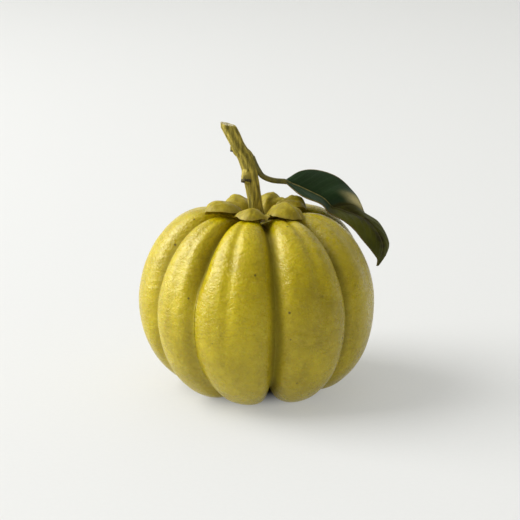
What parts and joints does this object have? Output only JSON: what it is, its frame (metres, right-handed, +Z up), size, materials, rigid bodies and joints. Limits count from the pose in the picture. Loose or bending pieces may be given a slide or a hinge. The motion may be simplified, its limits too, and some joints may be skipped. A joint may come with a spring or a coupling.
{
  "type": "garcinia fruit",
  "caption": "Ribbed yellow-green garcinia fruit as picked, standing on its lobes, with a ring of fleshy sepals, a short twig and one drooping leaf.",
  "frame": {"origin": "on the table, under the middle of the whole object's box", "axes": "+Z up along the stem's axis; -Y towards the front of the fruit; +X to its right, the side that the leaf hangs over"},
  "size_m": [0.0802, 0.0732, 0.0856],
  "materials": {
    "fruit_skin": "satin",
    "sepal": "satin",
    "bark": "matte",
    "leaf": "satin",
    "scar": "matte"
  },
  "bodies": {
    "root": {"fruit": "fruit_skin", "sepal_front": "sepal", "sepal_front_right": "sepal", "sepal_back_right": "sepal", "sepal_back": "sepal", "sepal_back_left": "sepal", "sepal_left": "sepal", "twig": "bark", "leaf": "leaf", "blossom_scar": "scar"}
  },
  "joints": []
}
